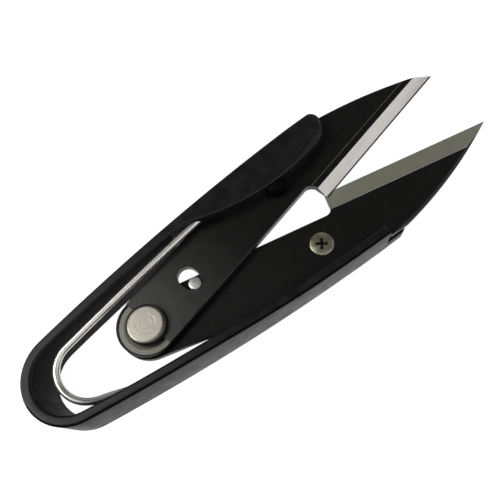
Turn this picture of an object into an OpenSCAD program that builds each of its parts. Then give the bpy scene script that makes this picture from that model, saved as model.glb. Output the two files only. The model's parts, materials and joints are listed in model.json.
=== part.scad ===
// Thread snips: two blades on one rivet, opened by a looped handle and a wire spring.
//
// Drawn about the pivot: the rivet's axis is x = y = 0, +X runs to the tips, +Y to the
// upper arm, and the blades meet at z = 0. The lower jaw is the upper one turned half a
// turn about X. placed() then puts the origin at the bottom of the bounding box's centre.

/* [Handle] */
// Outer radius of the bend at the back
bend_r = 10; // [9:0.5:11]
// How far the bend's centre lies behind the pivot
bend_back = 17.8; // [16:0.1:20]
// Half the width across the arms where they are widest
half_w = 17.5; // [17:0.1:18.5]
// How far in front of the pivot the arms would be widest
crest_x = 71.2; // [68:0.1:76]
// Thickness of the strip that makes the loop and the arms
wall = 2.2; // [2:0.1:2.4]
// Height of the strip, and so of the snips as they lie
strip_h = 12.5; // [11.5:0.1:14]
// Where the springy loop ends and the stiff grips begin
flex_x = 2; // [0:0.5:6]
// How much lower the rim gets beside the blade
rim_drop = 2.05; // [1:0.05:2.4]
// Front end of the rim
rim_end = 53.7; // [52:0.1:54.5]

/* [Thumb pads] */
// Radius of the pad's bowed inner edge
pad_r = 53.7; // [50:0.1:56]
// How far in front of the pivot the bowed edge comes nearest to the axis
pad_crest_x = 41; // [40:0.1:42]
// Distance from the axis to the bowed edge at its nearest
pad_crest_y = 8.1; // [7.8:0.1:9]
// Radius of the pad's round front end
pad_end_r = 4.9; // [4:0.1:5.5]
// How far in front of the pivot that round end is centred
pad_end_x = 55.2; // [54:0.1:56]
// Radius of the hollow curve that leads from the arm into the pad
pad_lead_r = 15; // [12:0.5:18]

/* [Blades] */
// Thickness of each blade
blade_t = 2; // [1.6:0.1:2.2]
// Angle of each cutting edge to the axis when open
edge_angle = 12.65; // [12:0.05:13.2]
// Distance from the pivot to the line of the cutting edge
edge_offset = 11.65; // [11:0.05:12]
// Distance from the pivot to the heel, measured along the edge
heel_u = 48.6; // [47.5:0.1:49]
// Radius of the hollow corner at the heel
heel_r = 2.1; // [1:0.1:3]
// Width of the bevel ground on the outer face
bevel_w = 2.9; // [2:0.1:3.5]
// Distance from the pivot to the tang's inner edge
tang_r = 6.5; // [6.2:0.1:6.8]
// Distance from the pivot to the tang's back edge
tang_back = 6.95; // [6.6:0.05:7.1]
// Angle of the upper tang's back edge to the axis
tang_angle = 13.8; // [13:0.1:14.5]
// Angle of the lower tang's back edge to the axis
low_tang_angle = 16.5; // [14:0.1:17]
// Radius of the blade's curved back
back_r = 126; // [122:1:130]

/* [Pivot and stop] */
// Radius of the rivet's shank
shank_r = 2.5; // [2:0.1:3]
// Radius of the rivet's head
head_r = 4.5; // [4:0.1:5]
// Thickness of the rivet's head
head_t = 1.5; // [1:0.1:1.8]
// Radius of the stop pin
pin_r = 1.45; // [1.2:0.05:1.6]
// Distance from the pivot to the stop pin
pin_at = 13.6; // [13:0.1:14]
// Angle of the stop pin to the axis when open
pin_angle = 5.9; // [5.5:0.1:6.5]
// Half the width of the slot that the stop pin runs in
slot_r = 2.2; // [2:0.05:2.4]
// How far each jaw turns to close
swing = 6.25; // [5.5:0.05:6.5]

/* [Screws] */
// How far in front of the pivot each screw is
screw_x = 41.54; // [41:0.1:42]
// Distance from the axis to each screw
screw_y = 8.53; // [8.2:0.1:9]
// Radius of the screw's thread
screw_r = 1.5; // [1.25:0.05:1.5]
// Radius of the countersunk head
screw_head_r = 2.75; // [2.5:0.05:2.8]
// Length of the screw, head included
screw_len = 5; // [4:0.5:5.5]
// Radius of the boss around the screw's hole
boss_r = 2.6; // [2.4:0.1:2.8]

/* [Wire spring] */
// Diameter of the wire
wire_d = 1.6; // [1.2:0.1:1.6]
// Radius of the wire's bend, along its middle
wire_bend_r = 6.4; // [6:0.1:6.8]
// How far the wire's bend is centred behind the pivot
wire_back = 14.96; // [14.5:0.1:15.5]
// Angle at which each leg leaves the bend
wire_splay = 9.5; // [9:0.1:10]
// Height of the middle of the bend above the plane of the blades
wire_rise = 2.16; // [1.8:0.01:2.3]
// How much the wire climbs for each millimetre across
wire_tilt = 0.186; // [0.15:0.001:0.19]
// Where the ends of the wire lie inside the pads
wire_end = 30; // [27:0.5:31]

/* [Hidden] */
$fn = 96;
BIG_FN = 1440;      // facets on circles of arm size
FAR = 400;          // larger than the whole object
EASE = 0.02;        // play on each side of a face that slides or sits
RUN_FIT = 0.04;     // radial play of the rivet's shank in the blades
EDGE_LAND = 0.15;   // thickness left at the cutting edge
STEP_DEPTH = 0.45;  // depth of the coined step at the tang's round end
STEP_U = 0.4;       // where that step ends, along the edge direction
BACK_INSET = 0.4;   // how far the blade's back stays inside the handle's outer face
SHOULDER_GAP = 1.2; // gap between the rim's end and the blade's shoulder
PAD_CORNER_R = 1.8; // round on the pad's outer front corner
NOSE_RUN = 3;       // length over which each pad's front end falls away
NOSE_DROP = 1;      // how far it falls
NOSE_STEPS = 8;     // steps of that curve
BEND_LEAN = 1.26;   // how far the bend's inner wall leans forward over its height
RIM_LEAD = 1;       // level stretch of each rim before it starts to drop
RIM_RUN = 30;       // length over which it drops
RIM_STEPS = 16;     // steps of that curve
WIRE_BORE_R = 1.05; // radius of the blind hole that takes a wire leg
WIRE_BOW = 0.001;   // curvature of the legs
WIRE_LEG_STEPS = 12;
WIRE_BEND_STEPS = 16;
WIRE_SIDES = 12;
DROP_FROM = -20;    // where the lower leg starts to fall towards its own pad
DROP_RUN = 12;      // length over which it falls
BULGE_FROM = -16;   // where it starts to lean towards its arm
BULGE_RUN = 8;      // length over which it comes nearest to the arm
BULGE_END = -2;     // where it starts to leave the arm again
LEG_BULGE = 0.55;   // how much nearer it comes

half_h = strip_h / 2;
arm_r = (pow(crest_x + bend_back, 2) + half_w * half_w - bend_r * bend_r) / 2 / (half_w - bend_r);
arm_c = [crest_x, half_w - arm_r];
tangent_cos = -(bend_back + crest_x) / (arm_r - bend_r);
tangent_sin = sqrt(1 - tangent_cos * tangent_cos);
rim_from = flex_x + RIM_LEAD;
shoulder_x = rim_end + SHOULDER_GAP;
seat_z = blade_t + EASE;
back_c = [46, half_w + 0.3 - back_r];
pad_c = [pad_crest_x, pad_crest_y + pad_r];
pad_end_c = [pad_end_x, pad_c.y - sqrt(pow(pad_r - pad_end_r, 2) - pow(pad_end_x - pad_c.x, 2))];
pad_joint = pad_c + (pad_end_c - pad_c) * pad_r / (pad_r - pad_end_r);
pad_corner_x = pad_end_x + pad_end_r - PAD_CORNER_R;
pad_corner_c = [pad_corner_x, arm_y(pad_corner_x) - PAD_CORNER_R];
nose_x = pad_end_x + pad_end_r - NOSE_RUN;
lead_c = meeting(arm_c, arm_r - wall - pad_lead_r, pad_c, pad_r + pad_lead_r);
lead_arm = arm_c + (lead_c - arm_c) * (arm_r - wall) / (arm_r - wall - pad_lead_r);
lead_pad = lead_c + (pad_c - lead_c) * pad_lead_r / (pad_r + pad_lead_r);
pin_play = asin((slot_r - pin_r) / pin_at);
slot_from = pin_angle + pin_play - 0.5;
slot_to = pin_angle + 2 * swing + 0.7 - pin_play;
bevel_angle = atan((blade_t - EDGE_LAND) / bevel_w);
head_cone = screw_head_r - screw_r;
tang_end_r = (tang_r + tang_back) / 2;
origin_x = (tip_x() - bend_back - bend_r) / 2;

// ---- Functions ----

// The left-hand one of the two points at distance r0 from c0 and r1 from c1
function meeting(c0, r0, c1, r1) =
    let(apart = c1 - c0,
        d = norm(apart),
        along = (d * d + r0 * r0 - r1 * r1) / (2 * d),
        aside = sqrt(r0 * r0 - along * along),
        dir = apart / d)
    c0 + dir * along + [-dir.y, dir.x] * aside;

function unit(a) = [cos(a), sin(a)];

// Angle of the direction from one point to another
function towards(from, to) = atan2(to.y - from.y, to.x - from.x);

// Points along an arc, without its first one
function arc(c, r, a0, a1, n) = [for (i = [1 : n]) c + r * unit(a0 + (a1 - a0) * i / n)];

// Distance from the axis to an arm's outer face
function arm_y(x) = arm_c.y + sqrt(arm_r * arm_r - pow(x - arm_c.x, 2));

// A smooth step from 0 to 1
function ease(t) = let(s = max(0, min(1, t))) s * s * (3 - 2 * s);

// Height of the rim above the plane of the blades
function rim_h(x) = half_h - rim_drop * ease((x - rim_from) / RIM_RUN);

// Centre of the tang's round end, which touches the inner edge and a back edge at this angle
function tang_end_c(back_angle) =
    (tang_back - tang_r) / 2 / cos((back_angle - edge_angle) / 2)
    * unit(90 + (edge_angle + back_angle) / 2);

// Where the curved back meets the cutting edge
function tip_x() =
    let(n = [sin(edge_angle), -cos(edge_angle)],
        gap = edge_offset - n * back_c,
        foot = back_c + n * gap,
        half = sqrt(back_r * back_r - gap * gap))
    foot.x + half * cos(edge_angle);

// Middle line of one wire leg, s millimetres along it from the bend, in plan
function leg_start() = [-wire_back - wire_bend_r * sin(wire_splay), wire_bend_r * cos(wire_splay)];
function leg_length() = (wire_end - leg_start().x) / cos(wire_splay);
function leg(s) =
    leg_start() + s * [cos(wire_splay), sin(wire_splay)]
    + WIRE_BOW * s * s / 2 * [sin(wire_splay), -cos(wire_splay)];

// Height of the wire: a tilted plane, which the lower leg leaves to reach its own pad
function wire_z(p) =
    wire_tilt * p.y + wire_rise * (p.y > 0 ? 1 : 1 - 2 * ease((p.x - DROP_FROM) / DROP_RUN));

// How far the lower leg bulges towards its arm, just in front of the bend
function leg_bulge(p) =
    p.y > 0 ? 0
            : LEG_BULGE * ease((p.x - BULGE_FROM) / BULGE_RUN)
              * (1 - ease((p.x - BULGE_END) / DROP_RUN));

function on_wire(p) = [p.x, p.y - leg_bulge(p), wire_z(p)];
function upper_leg(s) = on_wire(leg(s));

// Places round one ring of a tube, square to its direction
function ring(p, dir, r) =
    let(side = cross(dir, [0, 0, 1]) / norm(cross(dir, [0, 0, 1])),
        up = cross(side, dir))
    [for (k = [0 : WIRE_SIDES - 1])
        p + r * (cos(360 * k / WIRE_SIDES) * side + sin(360 * k / WIRE_SIDES) * up)];

// ---- Outlines ----

module ahead(x) {
    translate([x, -FAR / 2])
        square([FAR, FAR]);
}

module behind(x) {
    translate([x - FAR, -FAR / 2])
        square([FAR, FAR]);
}

module upper_half() {
    translate([-FAR / 2, 0])
        square([FAR, FAR]);
}

// Disc whose rim is the upper arm's outer face, moved inwards by inset
module arm_disc(inset = 0) {
    translate(arm_c)
        circle(r = arm_r - inset, $fn = BIG_FN);
}

// Outline that both arms share, moved inwards by inset
module arms_outline(inset = 0) {
    intersection() {
        arm_disc(inset);
        mirror([0, 1])
            arm_disc(inset);
    }
}

module arms_strip() {
    difference() {
        arms_outline();
        arms_outline(wall);
    }
}

// Everything behind the two lines along which the bend runs into the arms
module bend_sector() {
    translate([-bend_back, 0])
        polygon([[0, 0],
                 FAR * [tangent_cos, tangent_sin],
                 [-FAR, FAR],
                 [-FAR, -FAR],
                 FAR * [tangent_cos, -tangent_sin]]);
}

// Outline of the space inside the loop, where the bend's inner wall is centred lean in front
// of its outer face and still runs into the arms' inner faces
module loop_room(lean) {
    room_c = [lean - bend_back, 0];
    translate(room_c)
        circle(r = arm_r - wall - norm(room_c - arm_c));
    intersection() {
        arms_outline(wall);
        ahead(room_c.x);
        behind(2 * flex_x + 1);
    }
}

// The pad's inner edge runs from the arm through a hollow curve, the bowed edge and the
// round front end; the arm's own disc bounds it outside
module pad_outline() {
    intersection() {
        arm_disc();
        polygon(concat(
            [lead_arm + [-1, 4], lead_arm + [0, wall / 2]],
            arc(lead_c, pad_lead_r, towards(lead_c, lead_arm) - 2, towards(lead_c, lead_pad), 8),
            arc(pad_c, pad_r, towards(pad_c, lead_pad), towards(pad_c, pad_joint), 18),
            arc(pad_end_c, pad_end_r, towards(pad_c, pad_joint), 0, 12),
            arc(pad_corner_c, PAD_CORNER_R, -15, 80, 8),
            [pad_corner_c + [PAD_CORNER_R / 4, 6]]));
    }
}

// The space in front of the tang, behind the heel, with its round corner
module throat() {
    translate([-FAR, -FAR - tang_r])
        square([FAR + heel_u - heel_r, FAR]);
    translate([-FAR, -FAR - tang_r - heel_r])
        square([FAR + heel_u, FAR]);
    translate([heel_u - heel_r, -tang_r - heel_r])
        circle(r = heel_r);
}

// Everything on the blade's side of the tang's inner edge, the heel and the cutting edge
module edge_side() {
    rotate(edge_angle)
        difference() {
            translate([0, -edge_offset])
                square([FAR, FAR]);
            throat();
        }
}

module blade_outline(back_angle) {
    translate(tang_end_c(back_angle))
        circle(r = tang_end_r);
    intersection() {
        edge_side();
        rotate(back_angle)
            translate([0, tang_back - FAR])
                square([FAR, FAR]);
        arm_disc(wall + EASE);
        behind(shoulder_x);
    }
    intersection() {
        edge_side();
        arm_disc(BACK_INSET);
        translate(back_c)
            circle(r = back_r, $fn = 720);
        ahead(shoulder_x);
    }
}

// Slot that follows the stop pin round the pivot
module stop_slot() {
    polygon(concat(
        arc([0, 0], pin_at + slot_r, slot_from, slot_to, 6),
        arc(pin_at * unit(slot_to), slot_r, slot_to, slot_to + 180, 18),
        arc([0, 0], pin_at - slot_r, slot_to, slot_from, 6),
        arc(pin_at * unit(slot_from), slot_r, slot_from + 180, slot_from + 360, 18)));
}

// ---- Solids of the upper jaw, about the pivot ----

// The space inside the loop: the bend's inner wall leans forward towards its lower side
module loop_hollow() {
    hull() {
        translate([0, 0, half_h])
            linear_extrude(1)
                loop_room(0);
        translate([0, 0, -half_h - 1])
            linear_extrude(1)
                loop_room(BEND_LEAN);
    }
}

// Removes what lies above the bevel ground on the blade's outer face
module bevel_cut() {
    rotate(edge_angle)
        translate([-FAR / 2, -edge_offset, EDGE_LAND])
            rotate([bevel_angle, 0, 0])
                translate([0, -FAR / 2, 0])
                    cube([FAR, FAR, FAR]);
}

module coined_step() {
    rotate(edge_angle)
        translate([-FAR + STEP_U, -FAR / 2, blade_t - STEP_DEPTH])
            cube([FAR, FAR, FAR]);
}

// Screw shape with its head's flat face at z = 0, made larger all round by play
module screw_form(play) {
    cylinder(h = head_cone, r1 = screw_head_r + play, r2 = screw_r + play);
    cylinder(h = screw_len + play, r = screw_r + play);
}

module blade_body(back_angle) {
    difference() {
        translate([0, 0, EASE])
            linear_extrude(blade_t - EASE)
                blade_outline(back_angle);
        bevel_cut();
        coined_step();
        translate([0, 0, -1])
            cylinder(h = blade_t + 2, r = shank_r + RUN_FIT);
        translate([screw_x, screw_y, 0])
            screw_form(EASE);
    }
}

// Side view of what the rim lacks beside the blade
module rim_cut() {
    rotate([90, 0, 0])
        linear_extrude(FAR, center = true)
            polygon(concat(
                [[rim_from, -FAR]],
                [for (i = [0 : RIM_STEPS])
                    let(x = rim_from + RIM_RUN * i / RIM_STEPS)
                    [x, -rim_h(x)]],
                [[FAR, -rim_h(FAR)], [FAR, -FAR]]));
}

// Side view of what the round front end of each pad lacks
module nose_cut() {
    rotate([90, 0, 0])
        linear_extrude(FAR, center = true)
            polygon(concat(
                [for (i = [0 : NOSE_STEPS])
                    let(turn = 90 * i / NOSE_STEPS)
                    [nose_x + NOSE_RUN * sin(turn), half_h - NOSE_DROP * (1 - cos(turn))]],
                [[FAR, half_h - NOSE_DROP], [FAR, FAR], [nose_x, FAR]]));
}

module wire_bore() {
    enter = upper_leg(leg_length() * 0.7);
    leave = upper_leg(leg_length() + 0.8);
    run = leave - enter;
    translate(enter)
        rotate([0, acos(run.z / norm(run)), atan2(run.y, run.x)])
            cylinder(h = norm(run), r = WIRE_BORE_R);
}

module grip_body() {
    difference() {
        union() {
            linear_extrude(strip_h, center = true)
                intersection() {
                    arms_strip();
                    upper_half();
                    ahead(flex_x + EASE);
                    behind(rim_end);
                }
            translate([0, 0, seat_z])
                linear_extrude(half_h - seat_z)
                    pad_outline();
            translate([screw_x, screw_y, seat_z])
                cylinder(h = screw_len - seat_z + 0.4, r = boss_r);
        }
        rim_cut();
        nose_cut();
        translate([screw_x, screw_y, 0])
            cylinder(h = screw_len + 0.3, r = screw_r + EASE);
        wire_bore();
    }
}

// Cross recess in the screw's head
module cross_recess() {
    for (a = [36, 126])
        rotate(a)
            translate([-1.3, -0.3, -1])
                cube([2.6, 0.6, 2]);
}

module screw_body() {
    difference() {
        screw_form(0);
        cross_recess();
    }
}

module placed() {
    translate([-origin_x, 0, half_h])
        children();
}

module turned_over() {
    rotate([180, 0, 0])
        children();
}

// ---- Nodes ----

module handle_loop() {
    color("#1b1b1d")
        placed()
            difference() {
                union() {
                    linear_extrude(strip_h, center = true)
                        intersection() {
                            translate([-bend_back, 0])
                                circle(r = bend_r, $fn = 180);
                            bend_sector();
                        }
                    linear_extrude(strip_h, center = true)
                        difference() {
                            intersection() {
                                arms_outline();
                                behind(flex_x);
                            }
                            bend_sector();
                        }
                }
                loop_hollow();
            }
}

module upper_grip() {
    color("#1d1d1f")
        placed()
            grip_body();
}

module lower_grip() {
    color("#1d1d1f")
        placed()
            turned_over()
                grip_body();
}

module upper_blade() {
    color("#2a2a2a")
        placed()
            difference() {
                blade_body(tang_angle);
                linear_extrude(3 * blade_t, center = true)
                    stop_slot();
            }
}

module lower_blade() {
    color("#2a2a2a")
        placed()
            difference() {
                turned_over()
                    blade_body(low_tang_angle);
                rotate(pin_angle)
                    translate([pin_at, 0, -blade_t - 1])
                        cylinder(h = blade_t + 2, r = pin_r);
            }
}

module pivot_rivet() {
    color("#8b8781")
        placed() {
            cylinder(h = 2 * blade_t + head_t, r = shank_r, center = true);
            for (side = [0, 180])
                rotate([side, 0, 0])
                    translate([0, 0, seat_z])
                        cylinder(h = head_t, r = side == 0 ? head_r : head_r - 0.5);
        }
}

module stop_pin() {
    color("#c9c6c0")
        placed()
            rotate(pin_angle)
                translate([pin_at, 0, -blade_t])
                    cylinder(h = 2 * blade_t - 0.2, r = pin_r);
}

module wire_spring() {
    n_bend = WIRE_BEND_STEPS;
    n_leg = WIRE_LEG_STEPS;
    half_turn = 180 - 2 * wire_splay;
    upper = [for (i = [0 : n_leg]) leg(leg_length() * (1 - i / n_leg))];
    bend = [for (i = [1 : n_bend - 1])
        let(a = 90 + wire_splay + half_turn * i / n_bend)
        [-wire_back + wire_bend_r * cos(a), wire_bend_r * sin(a)]];
    lower = [for (i = [0 : n_leg]) let(p = leg(leg_length() * i / n_leg)) [p.x, -p.y]];
    path = [for (p = concat(upper, bend, lower)) on_wire(p)];
    last = len(path) - 1;
    rings = [for (i = [0 : last])
        let(dir = path[min(i + 1, last)] - path[max(i - 1, 0)])
        each ring(path[i], dir / norm(dir), wire_d / 2)];
    sides = [for (i = [0 : last - 1], k = [0 : WIRE_SIDES - 1])
        let(a = i * WIRE_SIDES + k, b = i * WIRE_SIDES + (k + 1) % WIRE_SIDES)
        [a, a + WIRE_SIDES, b + WIRE_SIDES, b]];
    first_cap = [for (k = [0 : WIRE_SIDES - 1]) k];
    last_cap = [for (k = [0 : WIRE_SIDES - 1]) (last + 1) * WIRE_SIDES - 1 - k];
    color("#d8d8d8")
        placed()
            polyhedron(points = rings, faces = concat([first_cap], sides, [last_cap]));
}

module upper_screw() {
    color("#a8a594")
        placed()
            translate([screw_x, screw_y, EASE])
                screw_body();
}

module lower_screw() {
    color("#a8a594")
        placed()
            turned_over()
                translate([screw_x, screw_y, EASE])
                    screw_body();
}

handle_loop();
upper_grip();
lower_grip();
upper_blade();
lower_blade();
pivot_rivet();
stop_pin();
wire_spring();
upper_screw();
lower_screw();
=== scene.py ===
import json
import math

import bmesh
import bpy
import numpy as np
from mathutils import Matrix, Vector
from mathutils.geometry import tessellate_polygon


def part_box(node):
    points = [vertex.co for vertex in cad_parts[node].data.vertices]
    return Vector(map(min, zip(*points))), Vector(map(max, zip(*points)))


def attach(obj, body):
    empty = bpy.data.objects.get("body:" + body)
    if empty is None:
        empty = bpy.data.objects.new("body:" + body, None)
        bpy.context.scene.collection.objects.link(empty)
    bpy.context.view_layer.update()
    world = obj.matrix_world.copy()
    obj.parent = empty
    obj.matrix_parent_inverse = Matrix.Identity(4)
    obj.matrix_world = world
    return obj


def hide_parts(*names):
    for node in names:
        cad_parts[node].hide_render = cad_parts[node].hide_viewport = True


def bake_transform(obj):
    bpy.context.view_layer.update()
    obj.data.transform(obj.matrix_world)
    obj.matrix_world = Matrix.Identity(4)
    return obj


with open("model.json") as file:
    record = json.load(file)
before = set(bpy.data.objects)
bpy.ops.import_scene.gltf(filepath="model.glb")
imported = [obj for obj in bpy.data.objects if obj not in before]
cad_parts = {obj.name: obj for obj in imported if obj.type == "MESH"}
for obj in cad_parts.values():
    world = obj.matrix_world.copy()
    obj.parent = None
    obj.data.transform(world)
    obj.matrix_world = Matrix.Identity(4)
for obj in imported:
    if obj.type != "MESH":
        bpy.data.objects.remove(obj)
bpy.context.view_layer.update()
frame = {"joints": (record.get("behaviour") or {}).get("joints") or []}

# ---------------------------------------------------------------- places and sizes
# Everything is drawn in millimetres about the pivot: the rivet's axis is x = y = 0, +X runs
# to the tips, +Y to the upper arm, and the blades meet at z = 0. The lower jaw is the upper
# one turned half a turn about X.

MM = 0.001
PIVOT = Vector(frame["joints"][0]["pos_m"])


def place(x, y, z):
    """A point of the drawing, in the frame's metres."""
    return PIVOT + Vector((x, y, z)) * MM


def span(node):
    """Lowest and highest corner of a CAD node, in the drawing's millimetres."""
    low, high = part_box(node)
    return (low - PIVOT) / MM, (high - PIVOT) / MM


loop_low, loop_high = span("handle_loop")
grip_high = span("upper_grip")[1]
blade_low, blade_high = span("upper_blade")
rivet_low, rivet_high = span("pivot_rivet")
pin_low, pin_high = span("stop_pin")
screw_low, screw_high = span("upper_screw")

# half a turn about X, which takes a mesh from one jaw to the other
HALF_TURN = (Matrix.Translation(PIVOT) @ Matrix.Rotation(math.pi, 4, "X")
             @ Matrix.Translation(-PIVOT))

# the loop: a round bend at the back, and an arm along each side on a long arc
HALF_H = loop_high.z
BEND_R = 10.0
BEND_X = loop_low.x + BEND_R
BEND_LEAN = 1.26  # how far the bend's inner wall comes forward over its height
WALL = 2.2
CREST = (71.2, 17.5)  # where the arm's arc is farthest out
EDGE_ROUND = 0.5
FINE_FROM = 12.0  # from here on the arm's sections lie close together

# the rim beside a blade: its lower edge rises on the way to its end
RIM_FROM = 3.0
RIM_RUN = 30.0
RIM_DROP = 2.05
RIM_END = 53.7
RIM_CUT = 0.25

# the thumb pad: dished on top, with a rounded side and nose
SEAT_Z = 2.02  # its underside, just clear of the blade
PAD_R = 53.7
PAD_C = np.array((41.0, 8.1 + PAD_R))
PAD_END_R = 4.9
PAD_END_X = grip_high.x - PAD_END_R
PAD_CORNER_R = 1.8
LEAD_R = 15.0
PAD_DISH = 0.4
DISH_FROM = 20.0
DISH_RUN = 14.0
DISH_END_RUN = 12.0
NOSE_ROUND = 1.7
NOSE_FROM = 46.0
NOSE_ROUND_RUN = 11.0
NOSE_RUN = 3.0
NOSE_DROP = 0.5
SHOULDER_ROUND = 0.7
SHOULDER_FROM = 52.0
SHOULDER_RUN = 6.0

# which faces of a section are what, counted round it, and the slots of their materials
RING_CORNER = range(0, 4)  # the round below the outer wall
RING_SIDE = 4  # the outer wall
RING_INNER = range(31, 36)  # the inner wall
# the shaded slot takes a darker copy of the nylon, as painted shade on the loop's inner wall, along
# the lower arm's top edge and on the boss
NYLON_SLOT, SHADED_SLOT, SIDE_SLOT = 0, 1, 2

# blades: u runs along the cutting edge from beside the rivet, v square to it
BLADE_T = blade_high.z
EASE = blade_low.z
EDGE_ANGLE = math.radians(12.65)
EDGE_OFFSET = 11.65
HEEL_U = 48.6
HEEL_R = 2.1
HEEL_CUT = 0.35
BREAK = 0.12  # the chamfer of an edge that isn't ground
SPINE_BREAK = 0.55
SPINE_RUN = 6.0
TIP_FADE = 12.0

# the tang: its back edge and its front edge are tangents of its round end
TANG_R = 6.5
TANG_BACK = 6.95
TANG_ANGLE = math.radians(13.8)
LOW_TANG_ANGLE = math.radians(16.5)
TANG_END_R = (TANG_R + TANG_BACK) / 2

# the blade's back, and the shoulder where the rim ends beside it
BACK_R = 126.0
BACK_C = np.array((46.0, CREST[1] + 0.3 - BACK_R))
BACK_INSET = 0.4
SHOULDER_X = 54.9

# the ground faces: widths from the edge, and how deep each cuts
EDGE_LAND = 0.18
BEVEL_W = 2.9
PRIMARY_W = 4.4
PRIMARY_DROP = 0.16
BAND_W = 4.1
BAND_DROP = 0.05
LINE_W = 0.17
SCORE_W = 0.2
SCORE_DEPTH = 0.035
MICRO_BEVEL_Z = 0.04
COAT_SLOT, BEVEL_SLOT, BAND_SLOT, COIN_SLOT = 0, 1, 2, 3

# an edge between faces this level and this little bent is kept crisp
FLAT_NZ = 0.8
LEAST_BEND = math.radians(0.2)

# the coined face about the rivet
STEP_DEPTH = 0.45
STEP_U = 0.4
STEP_SIDE = 4 * TANG_R
STEP_CLEAR = 5.0

# stop pin and slot
PIN_R = (pin_high.x - pin_low.x) / 2
PIN_C = ((pin_low.x + pin_high.x) / 2, (pin_low.y + pin_high.y) / 2)
PIN_AT = Vector(PIN_C).length
PIN_ROUND = 0.22
SLOT_R = 2.2
SLOT_FROM = math.radians(8.56)
SLOT_TO = math.radians(15.94)
FIT = 0.01

# rivet
HEAD_R = rivet_high.x
HEAD_ROUND = 0.9
SHANK_R = 2.5
HOLE_R = 2.54
TAIL_R = HEAD_R - 0.5
TAIL_ROUND = 1.0
TURN_DEPTH = 0.01  # of the two rings that turning has left on the head

# screws, and the boss that takes each
SCREW_R = 1.5
SCREW_HEAD_R = (screw_high.x - screw_low.x) / 2
SCREW_LEN = screw_high.z - screw_low.z
SCREW_AT = ((screw_low.x + screw_high.x) / 2, (screw_low.y + screw_high.y) / 2)
UNDER_SCREW_AT = (SCREW_AT[0], -SCREW_AT[1])
HEAD_BAND = 0.12
THREAD_PITCH = 0.5
THREAD_DEPTH = 0.28
CROSS_ANGLE = math.radians(51)
BOSS_R = 2.6
BOSS_TOP = SCREW_LEN + 0.4

# wire spring: a bend and two splayed legs in a tilted plane
WIRE_R = 0.8
WIRE_BEND_R = 6.4
WIRE_X = -14.96
WIRE_SPLAY = math.radians(9.5)
WIRE_RISE = 2.16
WIRE_TILT = 0.186
WIRE_BOW = 0.001
WIRE_LEG = 46.6
WIRE_DROP_FROM = -20.0
WIRE_DROP_RUN = 12.0
LEG_BULGE = 0.55
BULGE_FROM = -16.0
BULGE_RUN = 8.0
BULGE_END = -2.0
BULGE_END_RUN = 12.0

# edges sharper than this many degrees stay crisp
EDGE_SHARP = 35
HANDLE_SHARP = 50
BLADE_SHARP = 25
RIVET_SHARP = 8
PIN_SHARP = 40
SCREW_SHARP = 30
WIRE_SHARP = 60


# ---------------------------------------------------------------- mesh helpers

def ease(t):
    """A smooth rise from 0 to 1 as t goes from 0 to 1."""
    t = min(1.0, max(0.0, t))
    return t * t * (3 - 2 * t)


def arc(centre, radius, start, stop, count):
    """count points along an arc, both ends included; angles in radians."""
    turns = np.linspace(start, stop, count)
    return np.c_[centre[0] + radius * np.cos(turns), centre[1] + radius * np.sin(turns)]


def corner_points(n, z, radius, start, stop, count):
    """Points along an arc of a section or a profile; angles in degrees."""
    return [tuple(p) for p in arc((n, z), radius, math.radians(start), math.radians(stop), count)]


def angle_to(centre, point):
    return math.atan2(point[1] - centre[1], point[0] - centre[0])


def turned_over(points):
    """Half a turn about X, which takes the upper jaw to the lower one."""
    return [(x, -y, -z) for x, y, z in points]


def make_piece(name, points, faces, materials, sharp=EDGE_SHARP, tags=None):
    """A mesh piece from points in the drawing's millimetres, smooth but for its sharp edges."""
    mesh = bpy.data.meshes.new(name)
    mesh.from_pydata([place(*p) for p in points], [], [list(f) for f in faces])
    if tags is not None:
        mesh.polygons.foreach_set("material_index", tags)
    build = bmesh.new()
    build.from_mesh(mesh)
    bmesh.ops.remove_doubles(build, verts=build.verts, dist=1e-7)
    bmesh.ops.dissolve_degenerate(build, edges=build.edges, dist=1e-7)
    bmesh.ops.recalc_face_normals(build, faces=build.faces)
    build.to_mesh(mesh)
    build.free()
    piece = bpy.data.objects.new(name, mesh)
    bpy.context.scene.collection.objects.link(piece)
    for material in materials:
        mesh.materials.append(material)
    shade(piece, sharp)
    return piece


def shade(piece, sharp):
    mesh = piece.data
    mesh.polygons.foreach_set("use_smooth", [True] * len(mesh.polygons))
    mesh.set_sharp_from_angle(angle=math.radians(sharp))
    mesh.update()


def loft(rings):
    """Points and faces of a closed skin over rings that all have the same number of points."""
    size = len(rings[0])
    points = [p for ring in rings for p in ring]
    faces = []
    for i in range(len(rings) - 1):
        for k in range(size):
            a, b = i * size + k, i * size + (k + 1) % size
            faces.append((a, b, b + size, a + size))
    faces.append(tuple(range(size - 1, -1, -1)))
    last = (len(rings) - 1) * size
    faces.append(tuple(range(last, last + size)))
    return points, faces


def lathe(profile, around, centre=(0.0, 0.0)):
    """Points and faces of a profile of (radius, z), which starts and ends on the axis."""
    points = [(centre[0], centre[1], profile[0][1])]
    turns = [2 * math.pi * k / around for k in range(around)]
    for radius, z in profile[1:-1]:
        points += [(centre[0] + radius * math.cos(t), centre[1] + radius * math.sin(t), z)
                   for t in turns]
    points.append((centre[0], centre[1], profile[-1][1]))
    last = len(points) - 1
    faces = [(0, 1 + k, 1 + (k + 1) % around) for k in range(around)]
    for ring in range(len(profile) - 3):
        base = 1 + ring * around
        for k in range(around):
            a, b = base + k, base + (k + 1) % around
            faces.append((a, a + around, b + around, b))
    base = last - around
    faces += [(last, base + (k + 1) % around, base + k) for k in range(around)]
    return points, faces


def cut_away(piece, cutter, sharp):
    """Takes the cutter's shape out of the piece, and leaves a plain mesh."""
    cut = piece.modifiers.new("cut", "BOOLEAN")
    cut.object = cutter
    cut.solver = "EXACT"
    made = bpy.data.meshes.new_from_object(
        piece.evaluated_get(bpy.context.evaluated_depsgraph_get()))
    piece.modifiers.clear()
    piece.data = made
    bpy.data.objects.remove(cutter)
    shade(piece, sharp)


# ---------------------------------------------------------------- handle

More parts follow.
